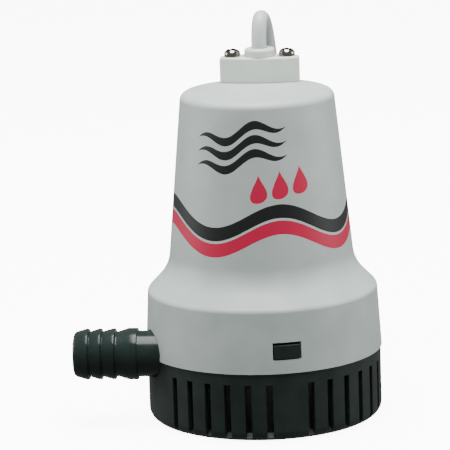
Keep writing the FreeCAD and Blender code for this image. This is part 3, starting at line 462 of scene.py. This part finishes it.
def make_finishes():
    """Every finish by its slot in the record; white_cap and polished_black are further finishes.

    The grain of moulded plastic is really about 0.2 mm; it is drawn at 0.6 to 0.9 mm, coarser than
    it is, so that it still reads from the camera's distance.
    """
    c = colours()
    made = {
        # injection-moulded ABS: satin white with broad soft highlights
        "white_housing": printed_plastic(),
        # cap of the same ABS from a blasted mould: flat white, a shade lighter than the housing
        "white_cap": grain(new_material("moulded_white_abs", c.cap, 0.5, IOR=1.54),
                           0.7 * MM, 0.004 * MM),
        # polypropylene from a spark-eroded mould: greenish black, matt, no sharp glints
        "black_plastic": grain(new_material("textured_black_polypropylene", c.base, 0.5, IOR=1.49,
                                            Specular_IOR_Level=0.3),
                               0.9 * MM, 0.006 * MM, 0.04),
        # the same from a polished mould: pale bars of lamp light along the barbs
        "polished_black": grain(new_material("polished_black_polypropylene", c.base, 0.2, IOR=1.49,
                                             Specular_IOR_Level=0.2),
                                0.9 * MM, 0.004 * MM, 0.03),
        # moulded acetal: mid grey with a waxy sheen
        "grey_plastic": grain(new_material("moulded_grey_acetal", from_hex("6F7573"), 0.45, IOR=1.48),
                              0.8 * MM, 0.004 * MM),
        # moulded nylon: warm cream, waxy
        "ivory_plastic": grain(new_material("moulded_ivory_nylon", from_hex("D9D2BE"), 0.45, IOR=1.53),
                               0.8 * MM, 0.004 * MM),
        # moulded soft PVC: pale and nearly matt, a weak sheen on its shoulder
        "grey_grommet": grain(new_material("moulded_grey_pvc", c.cap, 0.55, IOR=1.53),
                              0.6 * MM, 0.005 * MM),
        # cold-headed stainless, oiled: white where a lamp shows in it, dark elsewhere
        "stainless": grain(new_material("cold_headed_stainless_steel", from_hex("8F8B83"), 0.12,
                                        Metallic=1.0), 0.5 * MM, 0.002 * MM, 0.04),
        # drawn steel under zinc: cool silver with blurred reflections
        "plated_can": grain(new_material("zinc_plated_drawn_steel", from_hex("B9BDC0"), 0.3,
                                         Metallic=1.0), 0.6 * MM, 0.003 * MM, 0.05),
        # sintered ferrite: dull charcoal, gritty
        "ferrite": grain(new_material("sintered_ferrite", from_hex("3A3A3C"), 0.75),
                         0.3 * MM, 0.02 * MM),
        # stacked silicon steel: grey metal, faintly rough
        "laminations": grain(new_material("stacked_silicon_steel", from_hex("7B7F83"), 0.4,
                                          Metallic=1.0), 0.5 * MM, 0.01 * MM),
        # enamelled wire: red-brown metal under a clear gloss
        "copper": grain(new_material("enamelled_copper_wire", from_hex("B5622E"), 0.28, Metallic=1.0),
                        0.4 * MM, 0.03 * MM),
        # pressed carbon graphite: soft black, almost no shine
        "carbon": grain(new_material("pressed_carbon_graphite", from_hex("2A2A2B"), 0.6),
                        0.2 * MM, 0.01 * MM),
        # rolled brass: clean yellow metal
        "brass": grain(new_material("rolled_brass", from_hex("C9A55A"), 0.25, Metallic=1.0),
                       0.5 * MM, 0.003 * MM),
        # sintered bronze: brown metal, its pores dull it
        "bronze": grain(new_material("sintered_bronze", from_hex("9C6B3E"), 0.45, Metallic=1.0),
                        0.2 * MM, 0.02 * MM),
        # moulded nitrile rubber: black with a grey bloom
        "seal_rubber": grain(new_material("moulded_nitrile_rubber", from_hex("1C1C1D"), 0.65, IOR=1.52),
                             0.4 * MM, 0.01 * MM),
        # extruded PVC sheath: pale grey, one soft highlight along the bend
        "grey_sheath": grain(new_material("extruded_grey_pvc", c.sheath, 0.45, IOR=1.53),
                             0.8 * MM, 0.006 * MM),
        # extruded PVC of one conductor: black, a little glossy
        "black_core": grain(new_material("extruded_black_pvc", from_hex("17191A"), 0.4, IOR=1.53),
                            0.8 * MM, 0.004 * MM),
        # the same on the other: brown
        "core_insulation": grain(new_material("extruded_brown_pvc", from_hex("5A2A17"), 0.4, IOR=1.53),
                                 0.8 * MM, 0.004 * MM),
    }
    # flow marks and handling leave patches a little lighter and darker, stronger on the black
    for name, size, share in (("black_plastic", 8 * MM, 0.5), ("polished_black", 8 * MM, 0.4),
                              ("white_cap", 12 * MM, 0.12), ("grey_grommet", 12 * MM, 0.12),
                              ("grey_sheath", 16 * MM, 0.12)):
        drift(made[name], size, share)
    return made


finishes = {}


class BILGE_OT_finishes(bpy.types.Operator):
    """Makes the finishes and gives every construction solid the one of its slot"""
    bl_idname = "bilge.finishes"
    bl_label = "Finishes"

    def execute(self, context):
        finishes.update(make_finishes())
        slots = {entry["node"]: entry["material_slot"] for entry in frame["record"]["subparts"]}
        for name, item in frame["nodes"].items():
            if name not in slots:
                raise RuntimeError(name + " has no material slot")
            item.data.materials.clear()
            item.data.materials.append(finishes[slots[name]])
        return {"FINISHED"}


# ---------------------------------------------------------------- pieces

# gap round the outlet's neck where it passes through housing and strainer
NECK_GAP = 0.3 * MM
# slot places round the strainer, and for each run its first slot, in places from the front tab,
# and the number of its slots; the wall under the front tab and under the outlet stays plain
SLOT_PLACES = 35
SLOT_RUNS = ((1.12, 23), (29.12, 6))
# the opening in the strainer's lip behind a window: its extra half width, its foot over the seam
LIP_WINDOW_EASE = 0.25 * MM
LIP_WINDOW_SILL = 0.2 * MM


class BILGE_OT_housing(bpy.types.Operator):
    """Adds the white motor housing with its skirt, windows and outlet notch"""
    bl_idname = "bilge.housing"
    bl_label = "Motor housing"

    def execute(self, context):
        s = sizes()
        bm = spun(rounded_profile([
            (s.skirt_low_radius, s.seam_level, 0), (s.skirt_high_radius, s.skirt_top, s.skirt_edge),
            (s.cone_low_radius, s.cone_low, s.cone_foot_edge),
            (s.cone_high_radius, s.cone_high, s.top_edge), (0, s.cone_high, 0)]), steps=192)
        for turn in (0, math.pi):
            cut_opening(bm, *upright_box(s.tab_angle + turn, s.window_width / 2, s.window_low,
                                         s.window_high))
        cut_opening(bm, *arch_walls(s.outlet_y, s.outlet_level, s.neck_radius + NECK_GAP,
                                    s.seam_level - MM))
        piece = finish_piece("housing_shell", bm, [finishes["white_housing"]], bevel=0.3 * MM,
                             wall=s.housing_wall)
        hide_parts("motor_housing")
        return {"FINISHED"}


class BILGE_OT_strainer(bpy.types.Operator):
    """Adds the black strainer base with its slots and the lip that goes into the skirt"""
    bl_idname = "bilge.strainer"
    bl_label = "Strainer base"

    def execute(self, context):
        s = sizes()
        bm = spun(rounded_profile([
            (0, 0, 0), (s.base_radius, 0, s.base_edge), (s.base_radius, s.seam_level, 0),
            (s.lip_radius, s.seam_level, 0), (s.lip_radius, s.lip_top, 0)]), steps=210)
        pitch = FULL_TURN / SLOT_PLACES
        for first, count in SLOT_RUNS:
            for index in range(count):
                cut_opening(bm, *upright_box(s.tab_angle + (first + index) * pitch, s.slot_width / 2,
                                             s.slot_low, s.slot_high))
        cut_opening(bm, *arch_walls(s.outlet_y, s.outlet_level, s.neck_radius + NECK_GAP,
                                    s.lip_top + MM, upward=True))
        for turn in (0, math.pi):
            cut_opening(bm, *upright_box(s.tab_angle + turn, s.window_width / 2 + LIP_WINDOW_EASE,
                                         s.seam_level + LIP_WINDOW_SILL, s.lip_top + MM))
        piece = finish_piece("strainer_shell", bm, [finishes["black_plastic"]], bevel=0.4 * MM,
                             wall=s.base_wall)
        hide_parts("strainer_base")
        return {"FINISHED"}


# where the outlet's parts end along -X; the pump case is a piece of its own up to CASE_END
CASE_END = -34.0 * MM
NECK_END = -48.8 * MM
LAND_END = -52.4 * MM
RAMP_END = -56.5 * MM
BARB_CRESTS = (-57.7 * MM, -63.15 * MM, -68.25 * MM)
# run of a barb's steep face, and the fall and the rounding of the outlet's lip
BARB_FACE = 0.4 * MM
LIP_FALL = 0.3 * MM
LIP_ROUNDING = 1.7 * MM


class BILGE_OT_outlet(bpy.types.Operator):
    """Adds the barbed hose outlet and the case behind it"""
    bl_idname = "bilge.outlet"
    bl_label = "Hose outlet"

    def execute(self, context):
        s = sizes()
        root, crest, land = s.barb_root, s.barb_crest, s.land_radius
        profile = [(s.neck_radius, CASE_END), (s.neck_radius, NECK_END), (land, NECK_END),
                   (land, LAND_END), (root, RAMP_END)]
        for place in BARB_CRESTS:
            profile += [(root, place + BARB_FACE), (crest, place), (crest, place - s.barb_flat)]
        profile += arc_corner(profile[-1], (root - LIP_FALL, s.outlet_end),
                              (s.outlet_bore, s.outlet_end), LIP_ROUNDING)
        profile += [(s.outlet_bore, s.outlet_end), (s.outlet_bore, CASE_END)]
        bm = spun(profile, steps=96, closed=True)
        bmesh.ops.rotate(bm, verts=bm.verts, cent=(0, 0, 0), matrix=Matrix.Rotation(math.pi / 2, 3, "Y"))
        bmesh.ops.translate(bm, verts=bm.verts, vec=(0, s.outlet_y, s.outlet_level))
        outlet = finish_piece("hose_outlet", bm, [finishes["polished_black"]], bevel=0.15 * MM,
                              sharp=28)
        case = cad_copy("volute_body")
        bmesh.ops.bisect_plane(case, geom=case.verts[:] + case.edges[:] + case.faces[:],
                               plane_co=(CASE_END, 0, 0), plane_no=(-1, 0, 0), clear_outer=True)
        inner = finish_piece("pump_case", case, [finishes["black_plastic"]])
        for piece in (outlet, inner):
            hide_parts("volute_body")
        return {"FINISHED"}


# play of a pad in its window, and the room over it that it needs to swing in
PAD_GAP = 0.38 * MM
PAD_HEADROOM = 1.0 * MM
# how far a pad's face lies behind the skirt, and the finger that carries it
PAD_SINK = 0.3 * MM
FINGER_THICKNESS = 2.0 * MM
FINGER_FOOT = 25.8 * MM
FINGER_TOP_GAP = 0.4 * MM
PIVOT_RADIUS = 1.0 * MM


class BILGE_OT_press_tabs(bpy.types.Operator):
    """Adds the two press tabs: a spring finger each, with a pad that fills its window"""
    bl_idname = "bilge.press_tabs"
    bl_label = "Press tabs"

    def execute(self, context):
        s = sizes()
        inside, face = s.lip_radius - FINGER_THICKNESS, s.skirt_low_radius - PAD_SINK
        low, high = s.window_low + PAD_GAP, s.window_high - PAD_HEADROOM
        top = s.lip_top - FINGER_TOP_GAP
        half = s.window_width / 2 - PAD_GAP
        spread = 2 * math.asin(half / face)
        section = [(inside, FINGER_FOOT), (s.lip_radius, FINGER_FOOT), (s.lip_radius, low),
                   (face, low), (face, high), (s.lip_radius, high), (s.lip_radius, top),
                   (inside, top)]
        for node, turn in (("press_tab_front", s.tab_angle), ("press_tab_rear", s.tab_angle + math.pi)):
            bm = spun(section, steps=10, closed=True, angle=spread)
            bmesh.ops.holes_fill(bm, edges=[e for e in bm.edges if e.is_boundary])
            bmesh.ops.rotate(bm, verts=bm.verts, cent=(0, 0, 0),
                             matrix=Matrix.Rotation(-spread / 2, 3, "Z"))
            across = Matrix.Rotation(math.pi / 2, 4, "X")
            place = Matrix.Translation(((inside + s.lip_radius) / 2, 0, FINGER_FOOT))
            bmesh.ops.create_cone(bm, cap_ends=True, segments=24, radius1=PIVOT_RADIUS,
                                  radius2=PIVOT_RADIUS, depth=2 * half, matrix=place @ across)
            bmesh.ops.rotate(bm, verts=bm.verts, cent=(0, 0, 0), matrix=Matrix.Rotation(turn, 3, "Z"))
            bmesh.ops.recalc_face_normals(bm, faces=bm.faces)
            piece = finish_piece(node + "_pad", bm, [finishes["black_plastic"]], body=node,
                                 bevel=0.2 * MM)
            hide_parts(node)
        return {"FINISHED"}


def bowed_edge(start, finish, radius, steps):
    """Points of an arc that bows to the right of its chord, without its last point."""
    a, b = Vector(start), Vector(finish)
    chord = b - a
    right = Vector((chord.y, -chord.x)).normalized()
    centre = (a + b) / 2 - right * math.sqrt(radius ** 2 - chord.length ** 2 / 4)
    first, last = a - centre, b - centre
    whole = first.angle(last)
    return [centre + (first * math.sin(whole * (1 - i / steps)) + last * math.sin(whole * i / steps))
            / math.sin(whole) for i in range(steps)]


class BILGE_OT_gland_cap(bpy.types.Operator):
    """Adds the lens-shaped cap that clamps the cable's gland"""
    bl_idname = "bilge.gland_cap"
    bl_label = "Gland cap"

    def execute(self, context):
        s = sizes()
        half, front, back = s.gland_half_width, s.gland_front, s.gland_back
        points = bowed_edge((-half, front), (half, front), s.gland_front_bow, steps=20)
        points.append(Vector((half, front)))
        points += bowed_edge((half, back), (-half, back), s.gland_back_bow, steps=28)
        points.append(Vector((-half, back)))
        bm = bmesh.new()
        base = bm.faces.new([bm.verts.new((p.x, p.y, s.cone_high)) for p in points])
        raised = bmesh.ops.extrude_face_region(bm, geom=[base], use_keep_orig=True)["geom"]
        bmesh.ops.translate(bm, verts=[v for v in raised if isinstance(v, bmesh.types.BMVert)],
                            vec=(0, 0, s.gland_height))
        bmesh.ops.recalc_face_normals(bm, faces=bm.faces)
        top = s.cone_high + s.gland_height
        rim = [e for e in bm.edges if all(abs(v.co.z - top) < SAME_PLACE for v in e.verts)]
        bmesh.ops.bevel(bm, geom=rim, offset=s.gland_edge, segments=4, profile=0.5, affect="EDGES",
                        material=-1)
        piece = finish_piece("gland_block", bm, [finishes["white_cap"]], bevel=0.35 * MM, sharp=40)
        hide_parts("gland_cap")
        return {"FINISHED"}


# the collar's flange under the cap, its neck through the cap, and the rounding of its head
FLANGE_SETBACK = 0.9 * MM
FLANGE_HEIGHT = 3.0 * MM
COLLAR_NECK_WALL = 1.6 * MM
COLLAR_ROUNDING = 1.1 * MM


class BILGE_OT_collar(bpy.types.Operator):
    """Adds the soft collar that seals the cable"""
    bl_idname = "bilge.collar"
    bl_label = "Cable collar"

    def execute(self, context):
        s = sizes()
        bore, neck = s.cable_radius, s.cable_radius + COLLAR_NECK_WALL
        flange, flange_top = s.collar_radius - FLANGE_SETBACK, s.cone_high + FLANGE_HEIGHT
        top = s.cone_high + s.gland_height
        bm = spun(rounded_profile([
            (bore, s.cone_high, 0), (flange, s.cone_high, 0), (flange, flange_top, 0),
            (neck, flange_top, 0), (neck, top, 0), (s.collar_radius, top, 0),
            (s.collar_radius, top + s.collar_height, COLLAR_ROUNDING),
            (bore, top + s.collar_height, 0)]), steps=64, closed=True)
        bmesh.ops.translate(bm, verts=bm.verts, vec=(0, s.gland_y, 0))
        piece = finish_piece("gland_collar", bm, [finishes["grey_grommet"]], bevel=0.15 * MM)
        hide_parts("cable_grommet")
        return {"FINISHED"}


# a screw's head, in shares of its height: where the dome begins, and the recess's floor
DOME_FOOT = 0.32
RECESS_FLOOR = 0.38
DOME_STEPS = 10
HEAD_RIM = 0.3 * MM
# the cross recess: half length and half width of an arm, in shares of the head's radius, and
# its turn in degrees, to which each side adds or takes away the second angle
RECESS_ARM = 0.72
RECESS_BLADE = 0.23
RECESS_TURN, RECESS_SIDE_TURN = 45, 8
# the screw's blunt tip
TIP_SHARE = 0.6
TIP_LENGTH = 1.2 * MM


class BILGE_OT_gland_screws(bpy.types.Operator):
    """Adds the two cross-recessed screws of the gland cap"""
    bl_idname = "bilge.gland_screws"
    bl_label = "Gland screws"

    def execute(self, context):
        s = sizes()
        wide, high, shank = s.head_radius, s.head_height, s.shank_radius
        rim = high * DOME_FOOT
        angles = [math.pi / 2 * i / DOME_STEPS for i in range(DOME_STEPS + 1)]
        dome = [(wide * math.cos(a), rim + (high - rim) * math.sin(a)) for a in angles]
        profile = [(0, -s.shank_length), (shank * TIP_SHARE, -s.shank_length),
                   (shank, TIP_LENGTH - s.shank_length), (shank, 0), (wide - HEAD_RIM, 0),
                   (wide, HEAD_RIM), *dome]
        x, y, up = Vector((1, 0, 0)), Vector((0, 1, 0)), Vector((0, 0, 1))
        whole = bmesh.new()
        for side in (-1, 1):
            bm = spun(profile, steps=48)
            for along, across in ((RECESS_ARM, RECESS_BLADE), (RECESS_BLADE, RECESS_ARM)):
                cut_opening(bm, [(x * wide * along, x), (-x * wide * along, -x),
                                 (y * wide * across, y), (-y * wide * across, -y)], up)
            outside = set(bm.faces)
            brink = [e for e in bm.edges if e.is_boundary]
            sunk = bmesh.ops.extrude_edge_only(bm, edges=brink)["geom"]
            for item in sunk:
                if isinstance(item, bmesh.types.BMVert):
                    item.co.z = high * RECESS_FLOOR
            bmesh.ops.holes_fill(bm, edges=[e for e in bm.edges if e.is_boundary])
            for face in bm.faces:
                face.material_index = 0 if face in outside else 1
            turn = math.radians(RECESS_TURN + RECESS_SIDE_TURN * side)
            bmesh.ops.rotate(bm, verts=bm.verts, cent=(0, 0, 0), matrix=Matrix.Rotation(turn, 3, "Z"))
            bmesh.ops.translate(bm, verts=bm.verts, vec=(s.gland_screw_x * side, s.gland_screw_y,
                                                         s.cone_high + s.gland_height))
            bmesh.ops.recalc_face_normals(bm, faces=bm.faces)
            one = bpy.data.meshes.new("screw")
            bm.to_mesh(one)
            bm.free()
            whole.from_mesh(one)
            bpy.data.meshes.remove(one)
        # painted shade: the recess is given brown, dull dark metal for the shade deep in the cross,
        # where the head is bright
        recess = grain(new_material("screw_recess_painted_shade", from_hex("2E2B28"), 0.45, Metallic=1.0),
                       0.3 * MM, 0.004 * MM)
        piece = finish_piece("cap_screws", whole, [finishes["stainless"], recess], bevel=0.08 * MM,
                             sharp=30)
        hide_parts("gland_screws")
        return {"FINISHED"}


# the cable's control points in millimetres: out of the gland and down behind the pump, the
# middle of its coil, and its tail
CABLE_ROUTE = [(0.0, 21.65, 127.0), (-0.6, 21.65, 154.9), (1.5, 34.35, 154.9), (3.9, 38.5, 128.0),
               (9.5, 45.0, 92.0), (16.0, 53.5, 58.0), (22.5, 65.0, 38.0), (28.0, 81.0, 25.5)]
COIL_CENTRE = (-0.8, 104.0)
TAIL_ROUTE = [(22.6, 130.0, 3.1), (19.5, 139.5, 3.1), (18.5, 149.5, 3.1)]
# the coil: the angle where it begins, its turns, its points, and the heights of the first and
# the last of them
COIL_START = math.radians(-7)
COIL_TURNS = 3 + 37 / 360
COIL_POINTS = 46
COIL_TOP = 21.7 * MM
COIL_FOOT = 3.1 * MM
# places across the stripped ends: between the conductors, and where each one's copper begins
LEADS_MIDDLE = 18.5 * MM
RIGHT_COPPER = 30.45 * MM
LEFT_COPPER = 3.75 * MM


class BILGE_OT_cable(bpy.types.Operator):
    """Adds the supply cable: out of the gland, down behind the pump and into its coil"""
    bl_idname = "bilge.cable"
    bl_label = "Supply cable"

    def execute(self, context):
        s = sizes()
        points = [Vector(p) * MM for p in CABLE_ROUTE]
        for i in range(COIL_POINTS + 1):
            share = i / COIL_POINTS
            angle = COIL_START + FULL_TURN * COIL_TURNS * share
            points.append(Vector((COIL_CENTRE[0] * MM + s.coil_radius * math.cos(angle),
                                  COIL_CENTRE[1] * MM + s.coil_radius * math.sin(angle),
                                  COIL_TOP + (COIL_FOOT - COIL_TOP) * share)))
        points += [Vector(p) * MM for p in TAIL_ROUTE]
        curve = bpy.data.curves.new("supply_cable", "CURVE")
        curve.dimensions = "3D"
        spline = curve.splines.new("NURBS")
        spline.points.add(len(points) - 1)
        for point, place in zip(spline.points, points):
            point.co = (*place, 1.0)
        spline.order_u = 3
        spline.use_endpoint_u = True
        curve.resolution_u = 8
        curve.bevel_depth = s.cable_radius
        curve.bevel_resolution = 6
        curve.use_fill_caps = True
        cable = bpy.data.objects.new("supply_cable", curve)
        bpy.context.scene.collection.objects.link(cable)
        curve.materials.append(finishes["grey_sheath"])
        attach(cable, "pump")
        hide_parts("power_cable", "cable_coil", "cable_tail")
        return {"FINISHED"}


class BILGE_OT_leads(bpy.types.Operator):
    """Adds the two stripped conductors at the cable's end"""
    bl_idname = "bilge.leads"
    bl_label = "Bare ends"

    def execute(self, context):
        bm = cad_copy("cable_leads")
        for face in bm.faces:
            x = face.calc_center_median().x
            bare = x > RIGHT_COPPER or x < LEFT_COPPER
            face.material_index = 2 if bare else 0 if x > LEADS_MIDDLE else 1
        piece = finish_piece("stripped_cores", bm, [finishes["core_insulation"],
                                                    finishes["black_core"], finishes["copper"]])
        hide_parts("cable_leads")
        return {"FINISHED"}


# ---------------------------------------------------------------- stage

FLOOR_HALF_SIZE = 4.0
FLOOR_GLOW = 9.0
WORLD_LIGHT = 0.3
# name, place, aim, size in metres and power in watts of each lamp
LAMPS = (
    ("overhead_softbox", (0.0, -0.1, 1.1), (0, 0, 0), (0.6, 0.9), 34),
    ("left_softbox", (-1.0, 0.1, 0.35), (0, 0, 0.07), (0.6, 0.6), 6.5),
    ("right_softbox", (1.0, 0.1, 0.35), (0, 0, 0.07), (0.6, 0.6), 6.5))
# the camera: what it circles, how far off, and its angles in degrees
CAMERA_TARGET = (0, 0, 0.070)
CAMERA_DISTANCE = 1.3
CAMERA_AZIMUTH, CAMERA_ELEVATION, CAMERA_ROLL = 4, 12.5, 1.65
CAMERA_LENS = 262.3
CAMERA_SHIFT = (-0.0803, 0.0345)


class BILGE_OT_stage(bpy.types.Operator):
    """Adds the pale floor, the soft lamps and the camera"""
    bl_idname = "bilge.stage"
    bl_label = "Stage"

    def execute(self, context):
        scene = context.scene
        bm = bmesh.new()
        bmesh.ops.create_grid(bm, x_segments=1, y_segments=1, size=FLOOR_HALF_SIZE)
        mesh = bpy.data.meshes.new("floor")
        bm.to_mesh(mesh)
        bm.free()
        floor = bpy.data.objects.new("floor", mesh)
        scene.collection.objects.link(floor)
        # backlit opal acrylic: an even white; only the camera sees it, and it lights no piece
        board = new_material("backlit_white_acrylic", from_hex("F4F5F4"), 0.9,
                             Emission_Strength=FLOOR_GLOW)
        board.node_tree.nodes["Principled BSDF"].inputs["Emission Color"].default_value = (1, 1, 1, 1)
        mesh.materials.append(board)
        floor.visible_diffuse = False
        floor.visible_glossy = False
        world = bpy.data.worlds.new("studio")
        world.use_nodes = True
        background = world.node_tree.nodes["Background"]
        background.inputs["Color"].default_value = (1, 1, 1, 1)
        background.inputs["Strength"].default_value = WORLD_LIGHT
        scene.world = world
        for name, place, aim, size, power in LAMPS:
            data = bpy.data.lights.new(name, "AREA")
            data.shape = "RECTANGLE"
            data.size, data.size_y = size
            data.energy = power
            lamp = bpy.data.objects.new(name, data)
            lamp.location = place
            lamp.rotation_mode = "QUATERNION"
            lamp.rotation_quaternion = (Vector(aim) - Vector(place)).to_track_quat("-Z", "Y")
            scene.collection.objects.link(lamp)
        azimuth, elevation = math.radians(CAMERA_AZIMUTH), math.radians(CAMERA_ELEVATION)
        back = Vector((math.cos(elevation) * math.sin(azimuth), -math.cos(elevation) * math.cos(azimuth),
                       math.sin(elevation)))
        data = bpy.data.cameras.new("camera")
        data.sensor_width = 36
        data.lens = CAMERA_LENS
        data.shift_x, data.shift_y = CAMERA_SHIFT
        data.dof.use_dof = False
        camera = bpy.data.objects.new("camera", data)
        camera.location = Vector(CAMERA_TARGET) + back * CAMERA_DISTANCE
        camera.rotation_mode = "QUATERNION"
        level = (-back).to_track_quat("-Z", "Y")
        roll = Matrix.Rotation(-math.radians(CAMERA_ROLL), 3, "Z").to_quaternion()
        camera.rotation_quaternion = level @ roll
        scene.collection.objects.link(camera)
        scene.camera = camera
        return {"FINISHED"}


# ---------------------------------------------------------------- panel and start

# in the order they run; the leads come before the cable
OPERATORS = (BILGE_OT_finishes, BILGE_OT_housing, BILGE_OT_strainer, BILGE_OT_outlet,
             BILGE_OT_press_tabs, BILGE_OT_gland_cap, BILGE_OT_collar, BILGE_OT_gland_screws,
             BILGE_OT_leads, BILGE_OT_cable, BILGE_OT_stage)


class BILGE_PT_panel(bpy.types.Panel):
    """Lists the pump's pieces in the sidebar"""
    bl_idname = "BILGE_PT_panel"
    bl_label = "Bilge Pump"
    bl_space_type = "VIEW_3D"
    bl_region_type = "UI"
    bl_category = "Bilge Pump"

    def draw(self, context):
        for operator in OPERATORS:
            self.layout.operator(operator.bl_idname)
        for group in (context.scene.bilge_pump_sizes, context.scene.bilge_pump_colours):
            for name in group.bl_rna.properties.keys():
                if name not in ("rna_type", "name"):
                    self.layout.prop(group, name)


CLASSES = (BilgePumpSizes, BilgePumpColours, *OPERATORS, BILGE_PT_panel)


def register():
    """Registers the classes and gives the scene its sizes and colours."""
    for item in CLASSES:
        bpy.utils.register_class(item)
    bpy.types.Scene.bilge_pump_sizes = bpy.props.PointerProperty(type=BilgePumpSizes)
    bpy.types.Scene.bilge_pump_colours = bpy.props.PointerProperty(type=BilgePumpColours)


def unregister():
    """Takes back what register gave."""
    del bpy.types.Scene.bilge_pump_colours
    del bpy.types.Scene.bilge_pump_sizes
    for item in reversed(CLASSES):
        bpy.utils.unregister_class(item)


def main():
    register()
    for operator in OPERATORS:
        group, name = operator.bl_idname.split(".")
        getattr(getattr(bpy.ops, group), name)()


if __name__ == "__main__":
    main()
